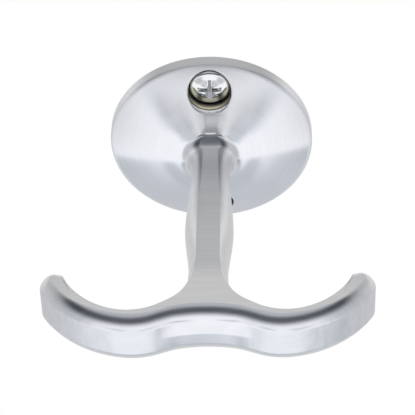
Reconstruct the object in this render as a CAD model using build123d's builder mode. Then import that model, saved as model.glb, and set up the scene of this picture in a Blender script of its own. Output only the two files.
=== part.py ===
"""Double coat hook for a ceiling or the underside of a shelf.

The origin is the middle of the flat mounting face, +Z is up and the hook hangs down from it.
X runs along the two arms, and Y is the depth of the arms. All lengths are in millimetres.
"""

import os
from math import asin, atan2, cos, degrees, radians, sin, sqrt

from build123d import *

# Rosette
rosette_diameter = 40.0
rim_height = 2.5
rim_chamfer = 0.35
dome_height = 4.5
rim_land = 2.4
hub_overlap = 0.8
pocket_depth = 2.4
pocket_corner = 1.2
boss_wall = 1.6

# Screws and their holes
screw_edge_distance = 5.5
screw_web = 1.2
screw_length = 8.0
thread_diameter = 4.0
thread_clearance = 0.25
thread_start = 0.3
tip_length = 3.2
neck_diameter = 3.2
head_diameter = 8.0
head_clearance = 0.2
head_height = 2.4
head_edge_height = 1.5
recess_span = 4.7
recess_wing = 1.0
recess_depth = 1.3

# Arms
hook_drop = 57.0
arm_depth = 11.5
arm_thickness = 3.3
bridge_width = 7.6
mouth_radius = 10.6
tip_radius = 14.4
tip_turn_start = 20.0
tip_turn_end = 74.5
lobe_shift = 0.6
back_radius = 20.8
back_turn_start = 8.0
underside_rise = 2.5
edge_land = 0.2
lower_edge_depth = 4.3
tip_rounding = 0.2
upper_edge_height = 0.5

# Stem: places below the mounting face or round the middle of the mouths, widths, and widths of the flats
# that are ground on the front and the back
flare_reach = 2.9
flare_depth_reach = 2.9
flare_sink = 0.2
root_depth = 13.8
step_drop = 8.35
step_depth = 8.8
step_hollow = 6.1
neck_drop = 11.6
neck_width = 7.4
neck_flat = 2.9
neck_depth = 7.7
ground_drop = 33.0
swell_drop = 27.5
swell_width = 9.2
swell_flat = 4.3
waist_above_mouth = 3.2
waist_width = 7.36
waist_flat = 4.6
foot_below_mouth = 0.8
foot_width = 8.0
foot_flat = 5.7
spread_below_mouth = 4.7
spread_width = 11.0
spread_flat = 8.6
run_out_rise = 0.5
run_out_inset = 2.4
run_out_edge = 2.0

rosette_radius = rosette_diameter / 2
face_radius = rosette_radius - rim_chamfer
dome_drop = rim_height + dome_height
dome_radius = (face_radius**2 + dome_height**2) / (2 * dome_height)
screw_y = rosette_radius - screw_edge_distance
screw_places = ((0, -screw_y), (0, screw_y))
boss_radius = head_diameter / 2 + head_clearance + boss_wall
hub_radius = screw_y - boss_radius + hub_overlap
mouth_x = bridge_width / 2 + mouth_radius
mouth_drop = hook_drop - arm_thickness - mouth_radius
lobe_x = mouth_x - lobe_shift
lower_edge_height = arm_thickness - upper_edge_height - edge_land
edge_squash = lower_edge_height / lower_edge_depth
tip_corner = lower_edge_height + tip_rounding
waist_drop = mouth_drop - waist_above_mouth
run_out_drop = mouth_drop + mouth_radius - run_out_rise
run_out_flat = 2 * (mouth_x - run_out_inset)
run_out_width = run_out_flat + 2 * run_out_edge
same_length = 1e-6


def half_axes(width, flat, depth):
    """Half axes of the ellipse whose flats, ground at the given depth, have the given width."""
    return width / 2, depth / 2 / sqrt(1 - (flat / width) ** 2)


def in_mouth(edge):
    """True for the arcs of the two hook mouths, up to their tips."""
    radius = edge.radius if edge.geom_type == GeomType.CIRCLE else 0
    return any(abs(radius - known) < same_length for known in (mouth_radius, tip_radius))


def on_underside(edge):
    """True for the edges of the arms' front and back faces that lie round the underside and the tips."""
    return not in_mouth(edge) and edge.center().Z < -waist_drop - upper_edge_height


os.makedirs("parts", exist_ok=True)

# Rounded stem as it is cast, from inside the dome down to where it runs out into the arms
neck_x, neck_y = half_axes(neck_width, neck_flat, neck_depth)
root_radius = neck_x + flare_reach
root_drop = dome_drop - dome_radius + sqrt(dome_radius**2 - root_radius**2) - flare_sink
flare_rise = neck_drop - root_drop
flare_turns = (0, 30, 60)
stem_ellipses = []
for turn in flare_turns:
    growth = 1 - sin(radians(turn))
    drop = neck_drop - flare_rise * cos(radians(turn))
    stem_ellipses.append((drop, neck_x + growth * flare_reach, neck_y + growth * flare_depth_reach))
stem_ellipses += [
    (neck_drop, neck_x, neck_y),
    (swell_drop, *half_axes(swell_width, swell_flat, arm_depth)),
    (waist_drop, *half_axes(waist_width, waist_flat, arm_depth)),
    (mouth_drop + foot_below_mouth, *half_axes(foot_width, foot_flat, arm_depth)),
    (mouth_drop + spread_below_mouth, *half_axes(spread_width, spread_flat, arm_depth)),
    (run_out_drop, *half_axes(run_out_width, run_out_flat, arm_depth)),
]
with BuildPart() as cast_form:
    for drop, x_radius, y_radius in stem_ellipses:
        with BuildSketch(Plane.XY.offset(-drop)):
            Ellipse(x_radius, y_radius)
    loft()

# Stem above the waist, with its front and back ground to the side profile
with BuildPart() as stem:
    add(cast_form.part)
    with BuildSketch(Plane.YZ):
        with BuildLine():
            hollow = RadiusArc((root_depth / 2, -root_drop), (step_depth / 2, -step_drop), step_hollow)
            neck = Spline(
                hollow @ 1,
                (neck_depth / 2, -neck_drop),
                tangents=((0, -1), (0, -1)),
            )
            slope = Spline(
                neck @ 1,
                (arm_depth / 2, -ground_drop),
                tangents=((0, -1), (0, -1)),
            )
            Polyline(slope @ 1, (arm_depth / 2, -waist_drop), (0, -waist_drop))
            Line(hollow @ 0, (0, -root_drop))
            mirror(about=Plane.YZ)
        make_face()
    extrude(amount=rosette_radius, both=True, mode=Mode.INTERSECT)

# Corners that the rounded stem lacks where it runs out into the arms
with BuildPart() as corners:
    with Locations((0, 0, -waist_drop)):
        Box(
            run_out_flat,
            2 * arm_depth,
            run_out_drop - waist_drop,
            align=(Align.CENTER, Align.CENTER, Align.MAX),
        )
    add(cast_form.part, mode=Mode.SUBTRACT)

# Arms below the waist: the front outline, rounded along its edges while it is thin, then drawn out to its depth
# so that the roundings are deeper than they are high
with BuildPart() as anchor:
    lobe_radius = mouth_radius + arm_thickness
    underside_z = underside_rise - hook_drop
    lobe_height = -mouth_drop - underside_z
    valley_radius = (lobe_x**2 + lobe_height**2 - lobe_radius**2) / (2 * (lobe_radius - lobe_height))
    valley_turn = degrees(atan2(lobe_x, lobe_height + valley_radius))
    tip_shift = tip_radius - mouth_radius
    tip_centre = (
        mouth_x - tip_shift * sin(radians(tip_turn_start)),
        tip_shift * cos(radians(tip_turn_start)) - mouth_drop,
    )
    waist_turn = degrees(asin(waist_above_mouth / mouth_radius))
    with BuildSketch(Plane.XZ) as front_outline:
        with BuildLine():
            valley = JernArc((0, underside_z), (1, 0), valley_radius, -valley_turn)
            lobe = JernArc(valley @ 1, valley % 1, lobe_radius, valley_turn + back_turn_start)
            back = JernArc(lobe @ 1, lobe % 1, back_radius, tip_turn_end - back_turn_start)
            mouth = CenterArc(
                (mouth_x, -mouth_drop), mouth_radius, 180 - waist_turn, 90 + waist_turn + tip_turn_start
            )
            tip = CenterArc(tip_centre, tip_radius, 270 + tip_turn_start, tip_turn_end - tip_turn_start)
            Line(back @ 1, tip @ 1)
            Line(mouth @ 0, (0, -waist_drop))
            mirror(about=Plane.YZ)
        make_face()
        outer_corners = front_outline.vertices().sort_by(Axis.X)
        fillet((outer_corners[0], outer_corners[-1]), tip_corner)
    extrude(amount=arm_depth / 2 * edge_squash, both=True)
    outer_edges = anchor.faces().filter_by(Axis.Y).edges().filter_by(on_underside)
    fillet(outer_edges, lower_edge_height)
    mouth_edges = anchor.faces().filter_by(Axis.Y).edges().filter_by(in_mouth)
    fillet(mouth_edges, upper_edge_height)
    scale(by=(1, 1 / edge_squash, 1))
    add(corners.part, mode=Mode.SUBTRACT)

with BuildPart() as hook_casting:
    # Rosette with its domed face down
    with BuildSketch(Plane.XZ):
        with BuildLine():
            dome = TangentArc((0, -dome_drop), (face_radius, -rim_height), tangent=(1, 0))
            Polyline(
                dome @ 1, (rosette_radius, rim_chamfer - rim_height), (rosette_radius, 0), (0, 0), dome @ 0
            )
        make_face()
    revolve(axis=Axis.Z)
    # Two pockets in the back, between the rim, the hub and the screw bosses
    with BuildSketch() as pockets:
        Circle(rosette_radius - rim_land)
        Circle(hub_radius, mode=Mode.SUBTRACT)
        with Locations(*screw_places):
            Circle(boss_radius, mode=Mode.SUBTRACT)
        pocket_ends = pockets.vertices().filter_by(lambda corner: abs(corner.Y) > pocket_corner)
        fillet(pocket_ends, pocket_corner)
    extrude(amount=-pocket_depth, mode=Mode.SUBTRACT)
    # Counterbored screw holes
    with BuildSketch(Plane.XY.offset(-screw_web)):
        with Locations(*screw_places):
            Circle(head_diameter / 2 + head_clearance)
    extrude(amount=-dome_drop, mode=Mode.SUBTRACT)
    with BuildSketch():
        with Locations(*screw_places):
            Circle(thread_diameter / 2 + thread_clearance)
    extrude(amount=-screw_web, mode=Mode.SUBTRACT)
    # Stem and arms
    add(stem.part)
    add(anchor.part)

with BuildPart() as mounting_screws:
    head_radius = head_diameter / 2
    neck_radius = neck_diameter / 2
    thread_radius = thread_diameter / 2
    for x, y in screw_places:
        seat = Plane(origin=(x, y, -screw_web), x_dir=(1, 0, 0), z_dir=(0, -1, 0))
        with BuildSketch(seat):
            with BuildLine():
                crown = TangentArc((0, -head_height), (head_radius, -head_edge_height), tangent=(1, 0))
                Polyline(
                    crown @ 1,
                    (head_radius, 0),
                    (neck_radius, 0),
                    (neck_radius, screw_web + thread_start),
                    (thread_radius, screw_web + thread_start),
                    (thread_radius, screw_length - tip_length),
                    (0, screw_length),
                    crown @ 0,
                )
            make_face()
        revolve(axis=Axis((x, y, 0), (0, 0, 1)))
        crown_plane = Plane(origin=(x, y, -screw_web - head_height), z_dir=(0, 0, 1))
        with BuildSketch(crown_plane):
            Rectangle(recess_span, recess_wing)
            Rectangle(recess_wing, recess_span)
        extrude(amount=recess_depth, mode=Mode.SUBTRACT)

for piece, name in ((hook_casting, "hook_casting"), (mounting_screws, "mounting_screws")):
    piece.part.label = name
    export_step(piece.part, f"parts/{name}.step")
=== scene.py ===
"""Looks of the double coat hook: a satin brushed casting and its two plated screws.

The shapes are worked out in millimetres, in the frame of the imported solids, and scaled to metres
when they become meshes. Z is up, X runs along the arms and Y along their depth.
"""

from math import acos, atan2, cos, hypot, pi, radians, sin, sqrt

import bmesh
import bpy
import numpy as np
from mathutils import Matrix, Vector


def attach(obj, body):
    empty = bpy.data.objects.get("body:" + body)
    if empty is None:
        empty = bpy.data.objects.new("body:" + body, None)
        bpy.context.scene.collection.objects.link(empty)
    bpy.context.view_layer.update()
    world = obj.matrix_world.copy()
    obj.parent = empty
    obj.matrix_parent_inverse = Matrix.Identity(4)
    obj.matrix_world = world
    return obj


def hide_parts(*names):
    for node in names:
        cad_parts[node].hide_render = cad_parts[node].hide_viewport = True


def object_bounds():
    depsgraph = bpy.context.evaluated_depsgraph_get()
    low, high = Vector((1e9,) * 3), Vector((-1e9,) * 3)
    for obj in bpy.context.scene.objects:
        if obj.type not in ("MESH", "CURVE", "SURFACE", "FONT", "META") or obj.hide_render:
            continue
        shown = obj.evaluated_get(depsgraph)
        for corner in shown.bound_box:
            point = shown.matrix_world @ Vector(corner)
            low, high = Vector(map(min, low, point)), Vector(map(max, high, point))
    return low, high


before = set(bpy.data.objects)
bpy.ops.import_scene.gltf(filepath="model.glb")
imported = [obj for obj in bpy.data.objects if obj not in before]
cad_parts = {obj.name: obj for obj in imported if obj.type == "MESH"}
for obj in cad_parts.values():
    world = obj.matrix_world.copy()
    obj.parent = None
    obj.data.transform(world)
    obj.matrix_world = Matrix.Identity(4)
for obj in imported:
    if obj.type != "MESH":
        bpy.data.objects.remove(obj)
cad_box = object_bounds()

MM = 0.001
WELD = 2e-6

# Rosette
ROSETTE_RADIUS = 20.0
RIM_HEIGHT = 2.5
RIM_ROUNDING = 0.5
RIM_LAND = 2.4
DOME_HEIGHT = 4.5
DOME_SINK = 0.42
DOME_SINK_SPAN = (5.5, 10.5)
POCKET_DEPTH = 2.4
POCKET_CORNER = 1.2
BOSS_WALL = 1.6
HUB_OVERLAP = 0.8

# Screws and their holes
SCREW_EDGE_DISTANCE = 5.5
SEAT_DROP = 1.2
HEAD_RADIUS = 4.0
HEAD_CLEARANCE = 0.2
HEAD_HEIGHT = 2.4
HEAD_EDGE_HEIGHT = 1.5
HEAD_ROUNDING = 0.85
HOLE_ROUNDING = 0.3
NECK_RADIUS = 1.6
THREAD_RADIUS = 2.0
THREAD_CLEARANCE = 0.25
THREAD_CORE = 1.3
THREAD_PITCH = 1.8
THREAD_FLANK = 0.22
THREAD_START = 0.3
THREAD_RUN_IN = 0.6
SCREW_TIP = 6.8
TIP_LENGTH = 3.2
RECESS_SPAN = 2.35
RECESS_WING = 0.5
RECESS_DEPTH = 1.3
RECESS_FLOOR = 0.6

# Tick marks on the crown, between the wings of the recess
TICK_DEPTH = 0.07
TICK_FROM, TICK_TO, TICK_END = 1.15, 2.2, 0.1
TICK_HALF_TURN = 0.05
TICK_ZONE = 0.09

# Stem: drop below the mounting face, half width, and the share of the width that is ground flat
FLARE_REACH = 2.9
FLARE_DEPTH_REACH = 2.9
FLARE_START = radians(14.0)
FLARE_FLAT = 0.97
ROOT_DEPTH = 6.9
STEP_DROP, STEP_DEPTH = 8.35, 4.4
STEP_HOLLOW = 6.1
NECK_DROP, NECK_HALF, NECK_FLAT = 11.6, 3.7, 0.392
SWELL_DROP, SWELL_HALF, SWELL_FLAT = 28.3, 4.62, 0.47
WAIST_RISE, WAIST_HALF, WAIST_FLAT = 3.2, 3.68, 0.60
FOOT_FLAT = 0.66
NECK_DEPTH = 3.85
GROUND_DROP = 33.0

# Arms
HOOK_DROP = 57.0
ARM_DEPTH = 5.75
ARM_THICKNESS = 3.3
BRIDGE_HALF = 3.8
MOUTH_RADIUS = 10.6
TIP_RADIUS = 14.4
TIP_TURN_START = radians(20.0)
TIP_TURN_END = radians(74.5)
TIP_FAN_TURN = radians(56.0)
LOBE_SHIFT = 0.6
BACK_RADIUS = 20.8
BACK_TURN_START = radians(8.0)
UNDERSIDE_RISE = 2.5
UPPER_ROUNDING = 0.5
LOWER_ROUNDING = 2.6
LOWER_DEPTH = 4.3
BEVEL_POWER = 1.42
BEVEL_HEIGHT = 2.05
BEVEL_STRETCH = 1.36
OUTER_CORNER = 2.8
INNER_CORNER = 0.9
SPINE_INSET = 2.7

# Crease that runs out along the mouth: turn round the mouth, inset, end angle and straight wall
CREASE_TURNS = (radians(0.0), radians(26.0), radians(58.0))
CREASE_INSET = 0.92
CREASE_ANGLE = radians(54.0)
CREASE_WALL = 1.6

# Ridge along the middle of the underside, from the valley to where it has run out
RIDGE_FALL = 0.25
RIDGE_FROM, RIDGE_TO = 4.5, 9.0

# Block of the dome round a screw hole: from the hole's middle inwards, from the rim, and half its angle
BLOCK_INSET = 5.3
BLOCK_RIM = 0.25
BLOCK_TURN = radians(23.0)

# Steps along each stretch of the grids
EDGE_STEPS = 28
WALL_SHARE = 0.3
FLAT_STEPS = 14
FLAT_CROWDING = 1.4
FLARE_STEPS, STEP_STEPS = 12, 8
STEM_STEPS = (44, 32, 10)
FOOT_STEPS, MOUTH_STEPS = 14, 95
TIP_STEPS = (24, 10, 8, 12, 9)
DOME_STEPS, BLOCK_STEPS, RIM_STEPS = 6, 16, 2
ROUNDING_STEPS = 6
WALL_STEPS = 3
HOLE_STEPS = 6
SEAT_STEPS = 4
POCKET_STEPS = (30, 10, 14, 8, 14)
SECTOR_STEPS = (4, 7, 8, 7, 4)
RECESS_STEPS = 3
CROWN_STEPS = 18
HEAD_STEPS = 5
THREAD_STEPS = 109

# Angles between faces from which an edge is shown sharp
CASTING_SHARP = radians(32.0)
SCREW_SHARP = radians(28.0)

screw_y = ROSETTE_RADIUS - SCREW_EDGE_DISTANCE
counterbore_radius = HEAD_RADIUS + HEAD_CLEARANCE
clearance_radius = THREAD_RADIUS + THREAD_CLEARANCE
boss_radius = counterbore_radius + BOSS_WALL
hub_radius = screw_y - boss_radius + HUB_OVERLAP
face_radius = ROSETTE_RADIUS - RIM_ROUNDING
dome_radius = (face_radius**2 + DOME_HEIGHT**2) / (2 * DOME_HEIGHT)
mouth_x = BRIDGE_HALF + MOUTH_RADIUS
mouth_z = ARM_THICKNESS + MOUTH_RADIUS - HOOK_DROP
mouth_centre = np.array((mouth_x, mouth_z))
waist_drop = -mouth_z - WAIST_RISE
lobe_x = mouth_x - LOBE_SHIFT
lobe_radius = MOUTH_RADIUS + ARM_THICKNESS
underside_z = UNDERSIDE_RISE - HOOK_DROP
rounding_stretch = LOWER_DEPTH / LOWER_ROUNDING


def eased(value, span):
    """0 before the span, 1 past it, and 3t^2 - 2t^3 of the share t between."""
    t = np.clip((np.asarray(value) - span[0]) / (span[1] - span[0]), 0.0, 1.0)
    return t * t * (3 - 2 * t)


def through(place, stations, values):
    """Value at each place, eased from station to station with a level slope at every one."""
    place = np.asarray(place, float)
    result = np.full(place.shape, float(values[0]))
    for low, high, start, end in zip(stations, stations[1:], values, values[1:]):
        result += (end - start) * eased(place, (low, high))
    return result


def turned(angle):
    """Unit vectors at the given angles from the first axis."""
    return np.stack((np.cos(angle), np.sin(angle)), axis=-1)


def angle_of(vector):
    """Angle of a plane vector from the first axis."""
    return atan2(vector[1], vector[0])


def arc(centre, radius, start, end, steps):
    """Points on a circle from one angle to the other, the short way round."""
    sweep = (end - start + pi) % (2 * pi) - pi
    return np.asarray(centre) + radius * turned(start + sweep * np.linspace(0, 1, steps + 1))


def ray_to_circle(origin, directions, centre, radius, far):
    """Where rays from a point meet a circle: the far root of the quadratic, or the near one.

    A ray that misses the circle has no root and gives NaN, which no comparison picks.
    """
    offset = np.asarray(origin) - np.asarray(centre)
    middle = -(directions @ offset)
    with np.errstate(invalid="ignore"):
        root = np.sqrt(middle**2 - offset @ offset + radius**2)
    reach = middle + root if far else middle - root
    return np.asarray(origin) + reach[..., None] * directions


def circles_meet(first, first_radius, second, second_radius):
    """The meeting point of two circles to the left of the line from the first centre to the second."""
    first, second = np.asarray(first, float), np.asarray(second, float)
    gap = second - first
    distance = hypot(*gap)
    along = (first_radius**2 - second_radius**2 + distance**2) / (2 * distance)
    across = sqrt(first_radius**2 - along**2)
    unit = gap / distance
    return first + along * unit + across * np.array((-unit[1], unit[0]))


def raised(plan, level):
    """A grid of plan points, each with its height."""
    height = np.broadcast_to(level, plan.shape[:-1])
    return np.concatenate((plan, height[..., None]), axis=-1)


def stacked(stretches, columns):
    """Radii and levels of stretches of rows, one after the other, each spread over all the columns."""
    return [
        np.concatenate([np.broadcast_to(rows, (len(rows), columns)) for rows in values])
        for values in zip(*stretches)
    ]


def dome_z(radius):
    """Height of the domed face at a distance from the axis: a sphere that sinks towards the stem."""
    sphere = dome_radius - np.sqrt(dome_radius**2 - radius**2) - RIM_HEIGHT - DOME_HEIGHT
    return sphere - DOME_SINK * (1 - eased(radius, DOME_SINK_SPAN))


def stem_rows():
    """Rows down the side of the stem. Each section is an ellipse with its front and back ground flat.

    The flare is a quarter ellipse in the side view, and a hollow arc cuts its front down to the step.
    Below it, the half width, the share of the width that is flat and the depth ease from station to
    station.
    """
    root_z = dome_z(NECK_HALF + FLARE_REACH)
    rise = NECK_DROP + root_z
    step_turn = acos((NECK_DROP - STEP_DROP) / rise)
    turn = np.concatenate((
        np.linspace(FLARE_START, step_turn, FLARE_STEPS + 1),
        np.linspace(step_turn, pi / 2, STEP_STEPS + 1)[1:-1],
    ))
    growth = 1 - np.sin(turn)
    flare_z = rise * np.cos(turn) - NECK_DROP
    root, step = np.array((ROOT_DEPTH, -root_z)), np.array((STEP_DEPTH, STEP_DROP))
    hollow = circles_meet(step, STEP_HOLLOW, root, STEP_HOLLOW)
    hollow_depth = hollow[0] - np.sqrt(STEP_HOLLOW**2 - (-flare_z - hollow[1]) ** 2)
    ground_depth = through(-flare_z, (STEP_DROP, NECK_DROP), (STEP_DEPTH, NECK_DEPTH))
    cast_depth = NECK_DEPTH / sin(acos(NECK_FLAT)) + FLARE_DEPTH_REACH * growth
    flare_depth = np.where(-flare_z < STEP_DROP, hollow_depth, ground_depth)
    flare_depth = np.minimum(flare_depth, FLARE_FLAT * cast_depth)

    stations = (NECK_DROP, SWELL_DROP, waist_drop, -mouth_z)
    drops = np.concatenate([
        np.linspace(low, high, steps + 1)[:-1]
        for low, high, steps in zip(stations, stations[1:], STEM_STEPS)
    ])
    stem_half = through(drops, stations, (NECK_HALF, SWELL_HALF, WAIST_HALF, BRIDGE_HALF))
    stem_flat = through(drops, stations, (NECK_FLAT, SWELL_FLAT, WAIST_FLAT, FOOT_FLAT))
    stem_depth = through(drops, (NECK_DROP, GROUND_DROP), (NECK_DEPTH, ARM_DEPTH))
    half = np.concatenate((NECK_HALF + FLARE_REACH * growth, stem_half))
    z = np.concatenate((flare_z, -drops))
    none = np.zeros(len(z))
    return {
        "outline": np.stack((half, z), axis=1),
        "inward": np.tile((-1.0, 0.0), (len(z), 1)),
        "spine": np.stack((none, z), axis=1),
        "reach": half,
        "end": np.concatenate((np.arcsin(flare_depth / cast_depth), np.arccos(stem_flat))),
        "wall": none,
        "depth": np.concatenate((flare_depth, stem_depth)),
        "bevel": none,
    }


def underside_arcs():
    """Centre, radius and side of the three arcs of the underside: valley, lobe and back of the arm."""
    lobe_height = mouth_z - underside_z
    valley_radius = (lobe_x**2 + lobe_height**2 - lobe_radius**2) / (2 * (lobe_radius - lobe_height))
    lobe = np.array((lobe_x, mouth_z))
    back = lobe - (BACK_RADIUS - lobe_radius) * turned(BACK_TURN_START - pi / 2)
    valley = np.array((0.0, underside_z - valley_radius))
    return (valley, valley_radius, -1), (lobe, lobe_radius, 1), (back, BACK_RADIUS, 1)


def tip_arc_centre():
    """Centre of the wider arc that ends the mouth, in line with the mouth's centre where they meet."""
    return mouth_centre + (TIP_RADIUS - MOUTH_RADIUS) * turned(TIP_TURN_START + pi / 2)


def tip_line():
    """The straight end of the arm: its inner point, the direction outwards, and the one into the arm."""
    back = underside_arcs()[2][0]
    inner_end = tip_arc_centre() + TIP_RADIUS * turned(TIP_TURN_END - pi / 2)
    outer_end = back + BACK_RADIUS * turned(TIP_TURN_END - pi / 2)
    top = (outer_end - inner_end) / hypot(*(outer_end - inner_end))
    return inner_end, top, np.array((top[1], -top[0]))


def underside_rows(rays):
    """Spine, underside and its inward normals, where rays from the mouth's centre cross them.

    The spine keeps its distance from the valley, the lobe and the back, and the underside's point lies
    straight across it on the arc that the ray belongs to.
    """
    arcs = underside_arcs()
    (valley, valley_radius, _), (lobe, _, _), _ = arcs
    hits = [
        ray_to_circle(mouth_centre, rays, centre, radius - side * SPINE_INSET, side > 0)
        for centre, radius, side in arcs
    ]
    valley_end = (lobe - valley) / hypot(*(lobe - valley))
    valley_reach = (valley + valley_end * (valley_radius + SPINE_INSET))[0]
    lobe_slope = (hits[1] - lobe) @ turned(BACK_TURN_START)
    choice = np.where(hits[0][:, 0] < valley_reach, 0, np.where(lobe_slope < 0, 1, 2))
    spine, under, inward = np.empty_like(rays), np.empty_like(rays), np.empty_like(rays)
    for index, (centre, radius, side) in enumerate(arcs):
        mine = choice == index
        spine[mine] = hits[index][mine]
        away = spine[mine] - centre
        away /= np.linalg.norm(away, axis=1)[:, None]
        under[mine] = centre + radius * away
        inward[mine] = -side * away
    return spine, under, inward


def tip_rows(mouth_end, back_start):
    """Outline round the tip, its inward normals and its edge rounding, between two known points.

    It follows the inner arc, the inner corner, the straight end, the outer corner and the back. Along
    the straight end, the rounding eases from that of the upper edges to that of the lower ones.
    """
    tip_centre, back = tip_arc_centre(), underside_arcs()[2][0]
    inner_end, top, down = tip_line()
    inner_corner = ray_to_circle(
        inner_end + INNER_CORNER * down, top[None], tip_centre, TIP_RADIUS + INNER_CORNER, True
    )[0]
    outer_corner = ray_to_circle(
        inner_end + OUTER_CORNER * down, top[None], back, BACK_RADIUS - OUTER_CORNER, True
    )[0]
    inner_turn, outer_turn = angle_of(inner_corner - tip_centre), angle_of(outer_corner - back)
    top_turn, bend_end = angle_of(-down), inner_corner - INNER_CORNER * down
    inner_steps, inner_bend_steps, end_steps, outer_bend_steps, back_steps = TIP_STEPS
    stretches = [
        arc(tip_centre, TIP_RADIUS, angle_of(mouth_end - tip_centre), inner_turn, inner_steps),
        arc(inner_corner, INNER_CORNER, inner_turn + pi, top_turn, inner_bend_steps),
        np.linspace(bend_end, outer_corner - OUTER_CORNER * down, end_steps + 1),
        arc(outer_corner, OUTER_CORNER, top_turn, outer_turn, outer_bend_steps),
        arc(back, BACK_RADIUS, outer_turn, angle_of(back_start - back), back_steps),
    ]
    normals = [
        (stretches[0] - tip_centre) / TIP_RADIUS,
        (inner_corner - stretches[1]) / INNER_CORNER,
        np.tile(down, (len(stretches[2]), 1)),
        (outer_corner - stretches[3]) / OUTER_CORNER,
        (back - stretches[4]) / BACK_RADIUS,
    ]
    ends = (UPPER_ROUNDING,) * 3 + (LOWER_ROUNDING,) * 3
    rounding = [
        low + (high - low) * eased(np.linspace(0, 1, len(points)), (0, 1))
        for points, low, high in zip(stretches, ends, ends[1:])
    ]
    return [
        np.concatenate([points[1:] for points in parts])[:-1]
        for parts in (stretches, normals, rounding)
    ]


def arm_rows():
    """Rows along the mouth to the tip, round the tip, and back along the underside to the middle.

    Rays from the centre of the mouth join each point of the mouth to the spine, which is the middle
    plane between the arms up to the valley and then a line along the underside. The crease beside the
    mouth eases from the stem's section to a plain rounded edge.
    """
    foot_turn = atan2(mouth_z - underside_z - SPINE_INSET, mouth_x)
    inner_turns = np.linspace(0, foot_turn, FOOT_STEPS + 1)[:-1]
    outer_turns = np.linspace(foot_turn, pi / 2 + TIP_FAN_TURN, MOUTH_STEPS + 1)
    turns = np.concatenate((inner_turns, outer_turns))
    rays = turned(pi + turns)
    spine_inner = np.stack((np.zeros(FOOT_STEPS), mouth_z - mouth_x * np.tan(inner_turns)), axis=1)
    spine_outer, under, under_in = underside_rows(turned(pi + outer_turns))

    tip_centre = tip_arc_centre()
    on_tip = turns > pi / 2 + TIP_TURN_START
    mouth = mouth_centre + MOUTH_RADIUS * rays
    mouth[on_tip] = ray_to_circle(mouth_centre, rays[on_tip], tip_centre, TIP_RADIUS, True)
    mouth_in = rays.copy()
    mouth_in[on_tip] = (mouth[on_tip] - tip_centre) / TIP_RADIUS
    tip, tip_in, tip_rounding = tip_rows(mouth[-1], under[-1])

    plain_wall = ARM_DEPTH - UPPER_ROUNDING * rounding_stretch
    inset = through(turns, CREASE_TURNS, (BRIDGE_HALF * (1 - FOOT_FLAT), CREASE_INSET, UPPER_ROUNDING))
    end = through(turns, CREASE_TURNS, (acos(FOOT_FLAT), CREASE_ANGLE, pi / 2))
    wall = through(turns, CREASE_TURNS, (0.0, CREASE_WALL, plain_wall))
    lower = np.concatenate((tip_rounding, np.full(len(under), LOWER_ROUNDING)))
    bevel = eased(lower, (UPPER_ROUNDING, LOWER_ROUNDING))
    spine_tip = np.tile(spine_outer[-1], (len(tip), 1))
    return {
        "outline": np.concatenate((mouth, tip, under[::-1])),
        "inward": np.concatenate((mouth_in, tip_in, under_in[::-1])),
        "spine": np.concatenate((spine_inner, spine_outer, spine_tip, spine_outer[::-1])),
        "reach": np.concatenate((inset / (1 - np.cos(end)), lower)),
        "end": np.concatenate((end, np.full(len(lower), pi / 2))),
        "wall": np.concatenate((wall, ARM_DEPTH - lower * rounding_stretch)),
        "depth": np.full(len(turns) + len(lower), ARM_DEPTH),
        "bevel": np.concatenate((np.zeros(len(turns)), bevel)),
    }


def body_quarter():
    """A quarter of the stem and the arms: an edge profile carried down the stem and round the arm.

    At each row the profile starts on the middle plane, runs along a straight wall, turns inwards on an
    ellipse by the row's end angle, and goes straight over the ground flat to the spine. On the lower
    edges, sine and cosine are raised to a power, which flattens the ellipse towards a bevel. Along the
    valley the wall rises from the middle plane to its edge, which leaves a ridge, and at the tip the
    depth is cut by an ellipse of the distance from the straight end.
    """
    stem, arm = stem_rows(), arm_rows()
    row = {key: np.concatenate((stem[key], arm[key])) for key in stem}
    outline, inward, spine, bevel = row["outline"], row["inward"], row["spine"], row["bevel"]
    reach = row["reach"] + (BEVEL_HEIGHT - LOWER_ROUNDING) * bevel
    wall = row["wall"] + (LOWER_DEPTH - BEVEL_HEIGHT * BEVEL_STRETCH) * bevel
    bulge = (row["depth"] - wall) / np.sin(row["end"])
    power = 1 + (BEVEL_POWER - 1) * bevel[:, None]

    step = np.linspace(0, 1, EDGE_STEPS + 1)[None]
    share = WALL_SHARE * eased(wall, (0, ARM_DEPTH / 2))[:, None]
    on_wall = np.where(share > 0, np.clip(step / np.maximum(share, 1e-9), 0, 1), 1.0)
    turn = np.clip((step - share) / (1 - share), 0, 1) * row["end"][:, None]
    inset = reach[:, None] * (1 - np.clip(np.cos(turn), 0, 1) ** power)
    edge_out = wall[:, None] * on_wall + bulge[:, None] * np.sin(turn) ** power
    in_valley = (outline[:, 1] < underside_z + SPINE_INSET) & (inward[:, 1] > 0)
    ridge = RIDGE_FALL * in_valley * eased(outline[:, 0], (RIDGE_TO, RIDGE_FROM))
    inset = inset + ridge[:, None] * on_wall

    edge = outline[:, None] + inward[:, None] * inset[..., None]
    across = np.linspace(0, 1, FLAT_STEPS + 1)[1:, None] ** FLAT_CROWDING
    flat = edge[:, -1:] + (spine[:, None] - edge[:, -1:]) * across[None]
    plan = np.concatenate((edge, flat), axis=1)
    flat_out = np.tile(row["depth"][:, None], (1, FLAT_STEPS))
    out = np.concatenate((edge_out, flat_out), axis=1)

    inner_end, _, down = tip_line()
    from_end = np.clip((plan - inner_end) @ down / LOWER_ROUNDING, 0, 1)
    tip_cap = ARM_DEPTH - LOWER_DEPTH + LOWER_DEPTH * np.sqrt(1 - (1 - from_end) ** 2)
    out = np.where(plan[..., 0] > lobe_x, np.minimum(out, tip_cap), out)
    grid = np.stack((plan[..., 0], -out, plan[..., 1]), axis=-1)
    grid[0, :, 2] = dome_z(np.hypot(grid[0, :, 0], grid[0, :, 1]))
    return grid


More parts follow.
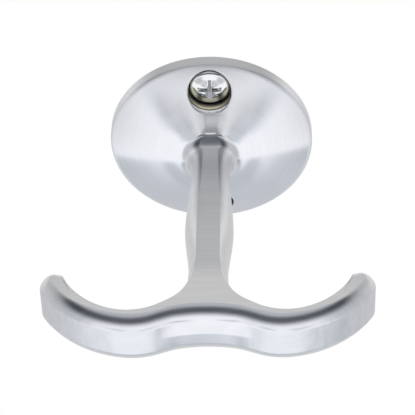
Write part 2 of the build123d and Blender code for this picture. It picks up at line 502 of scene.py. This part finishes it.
def rim_rows(unit):
    """The rim on radial lines: a quarter round from the dome's edge, then a straight wall to the back."""
    turn = np.linspace(0, pi / 2, ROUNDING_STEPS + 1)[:, None]
    up = np.linspace(RIM_ROUNDING - RIM_HEIGHT, 0, WALL_STEPS + 1)[1:, None]
    stretches = (
        (face_radius + RIM_ROUNDING * np.sin(turn), RIM_ROUNDING * (1 - np.cos(turn)) - RIM_HEIGHT),
        (np.full_like(up, ROSETTE_RADIUS), up),
    )
    radius, level = stacked(stretches, len(unit))
    return raised(unit[None] * radius[..., None], level)


def hole_rows(border):
    """Rings from a border on the dome to the rounded lip, down the counterbore, and through the hole."""
    hole = np.array((0.0, -screw_y))
    spoke = border - hole
    spoke /= np.linalg.norm(spoke, axis=1)[:, None]
    lip_radius = counterbore_radius + HOLE_ROUNDING
    share = np.linspace(0, 1, HOLE_STEPS + 1)[:, None, None]
    plan = border[None] * (1 - share) + (hole + lip_radius * spoke)[None] * share
    face = raised(plan, dome_z(np.linalg.norm(plan, axis=-1)))

    lip = face[-1:, :, 2]
    turn = np.linspace(0, pi / 2, ROUNDING_STEPS + 1)[1:, None]
    up = np.linspace(0, 1, HOLE_STEPS + 1)[1:, None]
    seat = np.linspace(counterbore_radius, clearance_radius, SEAT_STEPS + 1)[1:, None]
    to_back = np.linspace(-SEAT_DROP, 0, WALL_STEPS + 1)[1:, None]
    stretches = (
        (lip_radius - HOLE_ROUNDING * np.sin(turn), lip + HOLE_ROUNDING * (1 - np.cos(turn))),
        (np.full_like(up, counterbore_radius), (lip + HOLE_ROUNDING) * (1 - up) - SEAT_DROP * up),
        (seat, np.full_like(seat, -SEAT_DROP)),
        (np.full_like(to_back, clearance_radius), to_back),
    )
    radius, level = stacked(stretches, len(border))
    return np.concatenate((face, raised(hole + radius[..., None] * spoke[None], level)))


def rosette_quarter(ring):
    """A quarter of the rosette's domed face and rim, round the ring where the stem meets it.

    Straight radial lines run out from the ring's points. Round the screw hole a block of them is left
    out, and rings go from the block's border to the hole.
    """
    start = np.hypot(ring[:, 0], ring[:, 1])
    unit = ring[:, :2] / start[:, None]
    first = int(np.argmax(unit[:, 0] < sin(BLOCK_TURN)))
    block_in, block_out = screw_y - BLOCK_INSET, face_radius - BLOCK_RIM

    def fan(low, high, steps, columns=slice(None)):
        """Dome points on radial lines, from one distance to the other."""
        share = np.linspace(0, 1, steps + 1)[:, None]
        radius = np.broadcast_to(low, start.shape)[None, columns] * (1 - share) + high * share
        return raised(unit[None, columns] * radius[..., None], dome_z(radius))

    inner = fan(start, block_in, DOME_STEPS)
    side = fan(block_in, block_out, BLOCK_STEPS, slice(0, first + 1))
    outer = fan(block_out, face_radius, RIM_STEPS)
    border = np.concatenate((inner[-1, first:][::-1], side[1:, -1], outer[0, first:][1:]))
    return [inner, side, outer, rim_rows(unit), hole_rows(border[:, :2])]


def pocket_wall():
    """Half of a kidney pocket's wall: arcs round rim, screw boss and hub, carried to the floor."""
    middle, boss = np.zeros(2), np.array((0.0, screw_y))
    rim = ROSETTE_RADIUS - RIM_LAND
    outer = circles_meet(boss, boss_radius + POCKET_CORNER, middle, rim - POCKET_CORNER)
    inner = circles_meet(boss, boss_radius + POCKET_CORNER, middle, hub_radius + POCKET_CORNER)
    outer_turn, inner_turn = angle_of(outer), angle_of(inner)
    to_boss, from_boss = angle_of(boss - outer), angle_of(boss - inner)
    arcs = (
        (middle, rim, 0, outer_turn),
        (outer, POCKET_CORNER, outer_turn, to_boss),
        (boss, boss_radius, to_boss + pi, from_boss + pi),
        (inner, POCKET_CORNER, from_boss, inner_turn + pi),
        (middle, hub_radius, inner_turn, 0),
    )
    stretches = [arc(*values, steps)[1:] for values, steps in zip(arcs, POCKET_STEPS)]
    outline = np.concatenate([[(rim, 0.0)]] + stretches)
    levels = np.linspace(0, -POCKET_DEPTH, WALL_STEPS + 1)[:, None]
    return raised(np.broadcast_to(outline, (len(levels),) + outline.shape), levels)


def grid_faces(rows, columns):
    """Quads between neighbours of a grid whose points are numbered row by row."""
    corner = np.arange((rows - 1) * columns).reshape(rows - 1, columns)[:, :-1].ravel()
    return np.stack((corner, corner + 1, corner + columns + 1, corner + columns), axis=1)


def mirrored(grid):
    """A grid and its mirror images left to right, front to back, and both."""
    return [grid * np.array((x, y, 1.0)) for x in (1, -1) for y in (1, -1)]


def piece_from_grids(name, grids, sharp, fill_levels=()):
    """One closed mesh from grids: joined where they touch, flat openings filled, normals outwards."""
    points = np.concatenate([grid.reshape(-1, 3) for grid in grids]) * MM
    sizes = np.array([grid.shape[0] * grid.shape[1] for grid in grids])
    starts = np.cumsum(sizes) - sizes
    faces = np.concatenate([grid_faces(*grid.shape[:2]) + at for grid, at in zip(grids, starts)])
    mesh = bpy.data.meshes.new(name)
    mesh.from_pydata(points, [], faces)
    shell = bmesh.new()
    shell.from_mesh(mesh)
    bmesh.ops.remove_doubles(shell, verts=shell.verts, dist=WELD)
    bmesh.ops.dissolve_degenerate(shell, edges=shell.edges, dist=WELD / 4)
    for level in fill_levels:
        rim = [
            edge for edge in shell.edges
            if edge.is_boundary and all(abs(end.co.z - level * MM) < WELD for end in edge.verts)
        ]
        bmesh.ops.triangle_fill(shell, use_beauty=True, edges=rim, normal=(0, 0, 1))
    bmesh.ops.recalc_face_normals(shell, faces=shell.faces)
    shell.to_mesh(mesh)
    shell.free()
    mesh.shade_smooth()
    mesh.set_sharp_from_angle(angle=sharp)
    piece = bpy.data.objects.new(name, mesh)
    bpy.context.scene.collection.objects.link(piece)
    return piece


def casting():
    """The whole casting: a quarter of stem, arm and rosette, mirrored, with the pockets of its back."""
    body = body_quarter()
    grids = [body, pocket_wall()] + rosette_quarter(body[0])
    grids = [copy for grid in grids for copy in mirrored(grid)]
    return piece_from_grids("satin_hook", grids, CASTING_SHARP, (0.0, -POCKET_DEPTH))


def recess_radius(angle, span, wing):
    """Distance from the middle to a cross's outline at each angle: the wing's end, or its side."""
    folded = np.abs((angle + pi / 4) % (pi / 2) - pi / 4)
    at_side = wing / np.sin(np.maximum(folded, 1e-6))
    return np.where(folded <= atan2(wing, span), span / np.cos(folded), at_side)


def screw_grid(y):
    """One screw as a surface of turning angle and row: recess, crown, head, neck, thread and point.

    The recess is a cross with sloping sides, whose corners lie on grid lines. The thread is a ridge
    whose height depends on the share of a pitch that is left at each angle and height.
    """
    corner = atan2(RECESS_WING, RECESS_SPAN)
    marks = (-pi / 4, -pi / 4 + TICK_ZONE, -corner, corner, pi / 4 - TICK_ZONE, pi / 4)
    sector = np.concatenate([
        np.linspace(low, high, steps + 1)[:-1] for low, high, steps in zip(marks, marks[1:], SECTOR_STEPS)
    ])
    angle = np.concatenate([sector + quarter * pi / 2 for quarter in range(4)] + [[sector[0] + 2 * pi]])
    crown_z = -HEAD_HEIGHT - SEAT_DROP
    crown_drop = HEAD_HEIGHT - HEAD_EDGE_HEIGHT
    crown_radius = (HEAD_RADIUS**2 + crown_drop**2) / (2 * crown_drop)

    def crown(radius):
        """Height of the domed crown at a distance from the screw's axis."""
        return crown_radius - np.sqrt(crown_radius**2 - radius**2) + crown_z

    mouth = recess_radius(angle, RECESS_SPAN, RECESS_WING)
    floor = recess_radius(angle, RECESS_SPAN * RECESS_FLOOR, RECESS_WING * RECESS_FLOOR)
    floor_z = crown_z + RECESS_DEPTH
    out = np.linspace(0, 1, RECESS_STEPS + 1)[:, None]
    up = out[1:]

    crown_edge = HEAD_RADIUS - HEAD_ROUNDING
    share = np.linspace(0, 1, CROWN_STEPS + 1)[1:, None]
    radius = mouth * (1 - share) + crown_edge * share
    tick = 1 - eased(np.abs((angle + pi / 2) % (pi / 2) - pi / 4), (0, TICK_HALF_TURN))
    tick = tick * eased(radius, (TICK_FROM, TICK_FROM + TICK_END))
    tick = tick * eased(radius, (TICK_TO, TICK_TO - TICK_END))

    edge_z = crown(crown_edge)
    turn = np.linspace(0, pi / 2, HEAD_STEPS + 1)[1:, None]
    neck = np.array([(HEAD_RADIUS, -SEAT_DROP), (NECK_RADIUS, -SEAT_DROP), (NECK_RADIUS, THREAD_START)])
    height = np.linspace(THREAD_START, SCREW_TIP, THREAD_STEPS + 1)[1:, None]
    taper = np.minimum(1.0, (SCREW_TIP - height) / TIP_LENGTH)
    pitch_share = (height / THREAD_PITCH - angle / (2 * pi)) % 1
    ridge = np.clip(1 - np.abs(pitch_share - 0.5) / THREAD_FLANK, 0, 1)
    ridge = ridge * np.minimum(1.0, (height - THREAD_START) / THREAD_RUN_IN)
    stretches = (
        (floor * out, np.full_like(out, floor_z)),
        (floor * (1 - up) + mouth * up, floor_z * (1 - up) + crown(mouth) * up),
        (radius, crown(radius) + TICK_DEPTH * tick),
        (crown_edge + HEAD_ROUNDING * np.sin(turn), edge_z + HEAD_ROUNDING * (1 - np.cos(turn))),
        (neck[:, :1], neck[:, 1:]),
        ((THREAD_CORE + (THREAD_RADIUS - THREAD_CORE) * ridge) * taper, height),
    )
    radius, level = stacked(stretches, len(angle))
    return raised(radius[..., None] * turned(angle) + np.array((0.0, y)), level)


def screws():
    """Both mounting screws, alike."""
    grids = [screw_grid(y) for y in (-screw_y, screw_y)]
    return piece_from_grids("mounting_screw_pair", grids, SCREW_SHARP)


class Wire:
    """A shader socket that takes part in Python arithmetic. Each operator adds a Math node."""

    def __init__(self, tree, socket=None):
        self.tree = tree
        self.socket = socket

    def node(self, kind, output=0, settings=(), **inputs):
        """Adds a node, sets its settings, then fills or links its sockets, and returns one output.

        A socket goes by its name, with _ for a space, or by its number, as in i0.
        """
        made = self.tree.nodes.new(kind)
        for key, value in dict(settings).items():
            setattr(made, key, value)
        for key, value in inputs.items():
            numbered = key[0] == "i" and key[1:].isdigit()
            target = made.inputs[int(key[1:]) if numbered else key.replace("_", " ")]
            if isinstance(value, Wire):
                self.tree.links.new(value.socket, target)
            else:
                target.default_value = value
        return Wire(self.tree, made.outputs[output] if made.outputs else None)

    def other(self, name):
        """Another output of the same node."""
        return Wire(self.tree, self.socket.node.outputs[name])

    def parts(self):
        """The three parts of a vector."""
        apart = self.node("ShaderNodeSeparateXYZ", Vector=self)
        return [apart.other(axis) for axis in "XYZ"]

    def math(self, operation, *values):
        """A Math node on the given values or wires."""
        inputs = {f"i{index}": value for index, value in enumerate(values)}
        return self.node("ShaderNodeMath", 0, {"operation": operation}, **inputs)

    def __add__(self, other):
        return self.math("ADD", self, other)

    __radd__ = __add__

    def __sub__(self, other):
        return self.math("SUBTRACT", self, other)

    def __rsub__(self, other):
        return self.math("SUBTRACT", other, self)

    def __mul__(self, other):
        return self.math("MULTIPLY", self, other)

    __rmul__ = __mul__

    def __abs__(self):
        return self.math("ABSOLUTE", self)

    def ease(self, span, unit=1.0):
        """0 below the span, 1 above it, eased between. The span is in the given unit."""
        return self.node(
            "ShaderNodeMapRange", 0, {"interpolation_type": "SMOOTHSTEP"},
            Value=self, From_Min=span[0] * unit, From_Max=span[1] * unit,
        )

    def between(self, first, second):
        """The colour at this share of the way from the first colour to the second."""
        return self.node("ShaderNodeMix", 2, {"data_type": "RGBA"}, i0=self, i6=first, i7=second)

    def noise(self, scale, detail, roughness=0.5):
        """Noise from 0 to 1 at this place."""
        return self.node(
            "ShaderNodeTexNoise", 0, {"noise_dimensions": "3D"},
            Vector=self, Scale=scale, Detail=detail, Roughness=roughness,
        )


def new_finish(name):
    """A material with no nodes yet, and a wire to add them with."""
    material = bpy.data.materials.new(name)
    material.use_nodes = True
    material.node_tree.nodes.clear()
    return material, Wire(material.node_tree)


# Satin grain: scales of the rings along the radius, round the axis and up, and of the lines along X, Y and Z
RING_SCALES = (3200.0, 1.6, 900.0)
LINE_SCALES = (45.0, 300.0, 2000.0)
GRAIN_DETAIL, GRAIN_ROUGHNESS = 3.0, 0.6
RING_CONTRAST, RING_MIDDLE = 0.45, 0.27
STREAK_SPAN, STREAK_SHARE = (0.25, 0.75), 0.6
SATIN_CLOUD, SATIN_CLOUD_DETAIL = 90.0, 2.0
SATIN_BUMP, BUMP_DEPTH = 0.03, 0.02

# Satin zones: heights and distances in millimetres over which each one fades in
ROSETTE_ZONE = (-9.5, -7.5)
# span over which the neck's painted shade fades in towards the rosette
NECK_SHADE_ZONE = (-21.0, -12.0)
BY_STEM_ZONE = (8.5, 12.5)
RIM_ZONE = (19.2, 19.6)
STEM_ZONE = (-47.0, -41.0)
ARM_ZONE, WALL_ZONE = (4.0, 13.0), (3.4, 4.7)
TIP_ZONE = (23.5, 28.5)
BORE_SKIN = (0.02, 0.1)
BORE_ZONE = (-4.8, -4.6)
# span of the painted shade deep in each counterbore, near the seat
BORE_SHADE_ZONE = (-3.5, -3.0)
# painted dark reflection: a dark ring round each bore near its lip, its height and half widths
BORE_RING_DROP, BORE_RING_ZONE = 4.45, (0.1, 0.25)

# Satin colours
DULL_METAL = (0.85, 0.855, 0.865, 1.0)
BRIGHT_METAL = (0.98, 0.982, 0.99, 1.0)
# painted shade on the neck under the rosette: its colour and how far it is mixed in
NECK_PAINTED_SHADE, NECK_SHADE_SHARE = (0.72, 0.73, 0.75, 1.0), 0.6
BORE_METAL = (0.82, 0.76, 0.58, 1.0)
# painted shade deep in each counterbore, by the seat
BORE_SHADE = (0.36, 0.35, 0.33, 1.0)
# painted dark reflection in a ring round each counterbore
PAINTED_BORE_RING = (0.12, 0.11, 0.08, 1.0)

# Satin roughness: of the stem and the arms, and what the grain and each zone add
STEM_ROUGHNESS, ARM_ROUGHNESS = 0.29, 0.14
STREAK_ROUGHNESS, CLOUD_ROUGHNESS = 0.08, 0.03
ROSETTE_ROUGHNESS, RIM_ROUGHNESS, BY_STEM_ROUGHNESS = -0.14, 0.2, -0.06
UNDER_ROUGHNESS, TIP_ROUGHNESS = 0.06, 0.3
BRUSHING, BRUSHING_TURN = 0.95, 0.25


def grain(wire, places, scales):
    """Fine noise on three places, each with its own scale."""
    scaled = {axis: place * scale for axis, place, scale in zip("XYZ", places, scales)}
    return wire.node("ShaderNodeCombineXYZ", **scaled).noise(1.0, GRAIN_DETAIL, GRAIN_ROUGHNESS)


def bore_tone(x, y, z, tone):
    """The tone with the counterbores' bare walls: yellowish, with painted shade near the seat and a ring of
    painted dark reflection.
    """
    from_hole = abs(y) - screw_y * MM
    bore_radius = x.math("SQRT", x * x + from_hole * from_hole)
    wall = [counterbore_radius + skin for skin in BORE_SKIN]
    in_bore = (1.0 - bore_radius.ease(wall, MM)) * z.ease(BORE_ZONE, MM)
    # painted shade near the seat
    shaded = z.ease(BORE_SHADE_ZONE, MM).between(BORE_METAL, BORE_SHADE)
    # painted reflection: a dark ring round the bore near its lip
    ringed = abs(z + BORE_RING_DROP * MM).ease(BORE_RING_ZONE, MM).between(PAINTED_BORE_RING, shaded)
    return in_bore.between(tone, ringed)


def satin_finish():
    """Satin metal: turned rings on the rosette, level brush lines on the stem and the arms.

    The rosette and the stem are brushed, and the arms are rubbed smoother without a direction. The
    neck has painted shade that darkens it towards the rosette, the rim and the tips are rougher, and
    the dome beside the stem is smoother.
    """
    material, wire = new_finish("satin_finish")
    place = wire.node("ShaderNodeTexCoord", "Object")
    x, y, z = place.parts()
    radius = wire.math("SQRT", x * x + y * y)
    on_rosette = z.ease(ROSETTE_ZONE, MM)
    rings = grain(wire, (radius, wire.math("ARCTAN2", y, x), z), RING_SCALES)
    lines = grain(wire, (x, y, z), LINE_SCALES)
    streak = (rings * RING_CONTRAST + RING_MIDDLE) * on_rosette + lines * (1.0 - on_rosette)
    cloud = place.noise(SATIN_CLOUD, SATIN_CLOUD_DETAIL)

    brightness = streak.ease(STREAK_SPAN) * STREAK_SHARE + cloud * (1.0 - STREAK_SHARE)
    # painted shade: the neck is darkened towards the rosette
    neck_shade = z.ease(NECK_SHADE_ZONE, MM) * (1.0 - on_rosette)
    tone = brightness.between(DULL_METAL, BRIGHT_METAL)
    tone = (neck_shade * NECK_SHADE_SHARE).between(tone, NECK_PAINTED_SHADE)
    tone = bore_tone(x, y, z, tone)

    by_stem = (1.0 - radius.ease(BY_STEM_ZONE, MM)) * on_rosette
    under = abs(x).ease(ARM_ZONE, MM) * (1.0 - abs(y).ease(WALL_ZONE, MM))
    rough = streak * STREAK_ROUGHNESS + cloud * CLOUD_ROUGHNESS
    brushed_rough = rough + STEM_ROUGHNESS + on_rosette * ROSETTE_ROUGHNESS + by_stem * BY_STEM_ROUGHNESS
    brushed_rough = brushed_rough + radius.ease(RIM_ZONE, MM) * RIM_ROUGHNESS
    rubbed_rough = rough + ARM_ROUGHNESS + under * UNDER_ROUGHNESS
    rubbed_rough = rubbed_rough + abs(x).ease(TIP_ZONE, MM) * TIP_ROUGHNESS
    bump = wire.node("ShaderNodeBump", Strength=SATIN_BUMP, Distance=BUMP_DEPTH * MM, Height=streak)
    brushed = wire.node(
        "ShaderNodeBsdfPrincipled", Base_Color=tone, Roughness=brushed_rough, Normal=bump, Metallic=1.0,
        Anisotropic=BRUSHING, Anisotropic_Rotation=BRUSHING_TURN,
    )
    rubbed = wire.node(
        "ShaderNodeBsdfPrincipled", Base_Color=tone, Roughness=rubbed_rough, Normal=bump, Metallic=1.0,
    )
    metal = wire.node("ShaderNodeMixShader", i0=z.ease(STEM_ZONE, MM), i1=rubbed, i2=brushed)
    wire.node("ShaderNodeOutputMaterial", Surface=metal)
    return material


# Plating of the screws
DULL_PLATING = (0.9, 0.91, 0.9, 1.0)
BRIGHT_PLATING = (0.98, 0.98, 0.97, 1.0)
PLATING_CLOUD, PLATING_CLOUD_DETAIL = 900.0, 3.0
SCUFF_SCALE, SCUFF_DETAIL = 4000.0, 2.0
PLATING_ROUGHNESS, PLATING_CLOUD_ROUGHNESS, SCUFF_ROUGHNESS = 0.05, 0.05, 0.04
SCUFF_BUMP = 0.04


def plated_finish():
    """Bright plating with faint cloudiness and fine scuffs."""
    material, wire = new_finish("plated_finish")
    place = wire.node("ShaderNodeTexCoord", "Object")
    cloud = place.noise(PLATING_CLOUD, PLATING_CLOUD_DETAIL)
    scuff = place.noise(SCUFF_SCALE, SCUFF_DETAIL)
    metal = wire.node(
        "ShaderNodeBsdfPrincipled", Base_Color=cloud.between(DULL_PLATING, BRIGHT_PLATING), Metallic=1.0,
        Roughness=PLATING_ROUGHNESS + cloud * PLATING_CLOUD_ROUGHNESS + scuff * SCUFF_ROUGHNESS,
        Normal=wire.node("ShaderNodeBump", Strength=SCUFF_BUMP, Distance=BUMP_DEPTH * MM, Height=scuff),
    )
    wire.node("ShaderNodeOutputMaterial", Surface=metal)
    return material


# Camera: below the hook and in front of it
IMAGE_WIDTH = 415
FOCAL_PIXELS = 2136.76
SENSOR_WIDTH = 36.0
CLIP_NEAR, CLIP_FAR = 0.01, 20.0
CAMERA_PLACE = (11.09, -281.17, -321.06)
CAMERA_LIFT = radians(46.812)
CAMERA_AZIMUTH = radians(2.353)
CAMERA_ROLL = radians(1.328)


def camera_axes():
    """Right, up and back of the camera: turned round Z, tilted up, then rolled."""
    a, e, roll = CAMERA_AZIMUTH, CAMERA_LIFT, CAMERA_ROLL
    back = Vector((sin(a) * cos(e), -cos(a) * cos(e), -sin(e)))
    right = Vector((cos(a), sin(a), 0))
    up = back.cross(right)
    return right * cos(roll) + up * sin(roll), up * cos(roll) - right * sin(roll), back


def place_camera():
    """The camera at the photograph's viewing angle."""
    data = bpy.data.cameras.new("camera")
    data.sensor_width = SENSOR_WIDTH
    data.lens = FOCAL_PIXELS / IMAGE_WIDTH * SENSOR_WIDTH
    data.clip_start, data.clip_end = CLIP_NEAR, CLIP_FAR
    camera = bpy.data.objects.new("camera", data)
    bpy.context.scene.collection.objects.link(camera)
    turn = Matrix(camera_axes()).transposed().to_4x4()
    camera.matrix_world = Matrix.Translation(Vector(CAMERA_PLACE) * MM) @ turn
    bpy.context.scene.camera = camera


def around(middle, half):
    """The span that reaches as far to both sides of a middle."""
    return middle - half, middle + half


# Studio light by the direction's share of Y: at the front, then place, width of the change and light
BELOW_FRONT = 0.5
BELOW_BANDS = ((-0.73, 0.3, 0.1), (-0.25, 0.42, 1.0), (0.72, 0.05, 0.54), (0.9, 0.3, 0.74))
ABOVE_FRONT = 0.6
ABOVE_BANDS = ((-0.62, 0.1, 0.49), (-0.28, 0.3, 0.9), (0.22, 0.25, 0.66))
HORIZON = around(0.0, 0.06)
BOX_TILT = 0.05
BOX_BULGE, BULGE_BACK, BULGE_SIDE = 0.1, (0.3, 0.6), (0.2, 0.45)
SIDE_LIGHT, SIDE_SPAN = 0.55, (0.5, 0.85)

# Gap between the boxes, straight below and behind a round lamp
LAMP_PLACE, LAMP_EDGE = -0.09, around(0.38, 0.07)
GAP_LIGHT = 0.66
GAP_DOWN, GAP_FRONT, GAP_SIDE = around(0.845, 0.04), around(0.1, 0.04), around(0.16, 0.06)

# Colour of the light: how much the dim places, the back and the gap lean to the cool one
WHITE = (1.0, 1.0, 1.0, 1.0)
BOX_COLOUR = (0.965, 0.978, 1.02, 1.0)
COOL_COLOUR = (0.80, 0.915, 1.08, 1.0)
DIM_COOL, BACK_COOL, GAP_COOL = 0.8, 0.25, 0.4
BACK_SPAN = (0.66, 0.78)


def banded(along, level, bands):
    """Light that starts at a level and eases to each band's own level about its place."""
    before = level
    for place, width, after in bands:
        level = level + along.ease(around(place, width / 2)) * (after - before)
        before = after
    return level


def seen_directly(wire):
    """1 for rays from the camera or through glass, else 0."""
    path = wire.node("ShaderNodeLightPath")
    return wire.math("MAXIMUM", path.other("Is Camera Ray"), path.other("Is Transmission Ray"))


def studio_world():
    """A studio seen by direction: white for the camera, soft boxes below, a dim front, a light table above.

    The boxes below lie along X in bands from front to back, bulge a little in the middle and fade to
    the sides, and a dim gap lies between them straight below.
    """
    world = bpy.data.worlds.new("studio")
    world.use_nodes = True
    world.node_tree.nodes.clear()
    bpy.context.scene.world = world
    wire = Wire(world.node_tree)
    x, y, z = wire.node("ShaderNodeTexCoord", "Generated").parts()
    down, aside, from_lamp_y = 0.0 - z, abs(x), y - LAMP_PLACE
    from_lamp = wire.math("SQRT", x * x + from_lamp_y * from_lamp_y)
    gap = down.ease(GAP_DOWN) * from_lamp.ease(LAMP_EDGE) * y.ease(GAP_FRONT) * aside.ease(GAP_SIDE)
    bulge = y.ease(BULGE_BACK) * (1.0 - aside.ease(BULGE_SIDE)) * BOX_BULGE
    boxes = banded(y + x * BOX_TILT - bulge, BELOW_FRONT, BELOW_BANDS)
    boxes = boxes * (1.0 - gap * (1.0 - GAP_LIGHT)) * (1.0 - aside.ease(SIDE_SPAN) * (1.0 - SIDE_LIGHT))
    below = down.ease(HORIZON)
    seen = below * boxes + (1.0 - below) * banded(y, ABOVE_FRONT, ABOVE_BANDS)
    direct = seen_directly(wire)
    dim = 1.0 - boxes
    cool = dim * dim * DIM_COOL + y.ease(BACK_SPAN) * BACK_COOL + gap * GAP_COOL
    colour = (below * (1.0 - direct)).between(WHITE, cool.between(BOX_COLOUR, COOL_COLOUR))
    light = wire.node("ShaderNodeBackground", Color=colour, Strength=direct + seen * (1.0 - direct))
    wire.node("ShaderNodeOutputWorld", Surface=light)


# Floor: drop below the hook, half its width, and its reach to the front and the back, in metres
FLOOR_DROP = 0.6
FLOOR_HALF = 0.3
FLOOR_FRONT, FLOOR_BACK = 0.15, 0.9
FLOOR_COLOUR = (0.85, 0.85, 0.85, 1.0)
FLOOR_ROUGHNESS = 0.7


def pale_floor():
    """A plain pale floor, well below the hook and the camera: white when seen, and hidden from reflections."""
    level = cad_box[0].z - FLOOR_DROP
    front = [(side * FLOOR_HALF, -FLOOR_FRONT, level) for side in (-1, 1)]
    back = [(side * FLOOR_HALF, FLOOR_BACK, level) for side in (1, -1)]
    mesh = bpy.data.meshes.new("floor")
    mesh.from_pydata(front + back, [], [(0, 1, 2, 3)])
    floor = bpy.data.objects.new("floor", mesh)
    bpy.context.scene.collection.objects.link(floor)
    material, wire = new_finish("pale_floor")
    paint = wire.node("ShaderNodeBsdfPrincipled", Base_Color=FLOOR_COLOUR, Roughness=FLOOR_ROUGHNESS)
    glow = wire.node("ShaderNodeEmission", Color=WHITE, Strength=1.0)
    shown = wire.node("ShaderNodeMixShader", i0=seen_directly(wire), i1=paint, i2=glow)
    wire.node("ShaderNodeOutputMaterial", Surface=shown)
    mesh.materials.append(material)
    floor.visible_glossy = False


def dress(piece, node, material):
    """Puts a piece in the place of its solid, with its finish."""
    piece.data.materials.append(material)
    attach(piece, "root")
    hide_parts(node)


dress(casting(), "hook_casting", satin_finish())
dress(screws(), "mounting_screws", plated_finish())
place_camera()
studio_world()
pale_floor()
bpy.context.scene.view_settings.view_transform = "Standard"

bpy.context.view_layer.update()
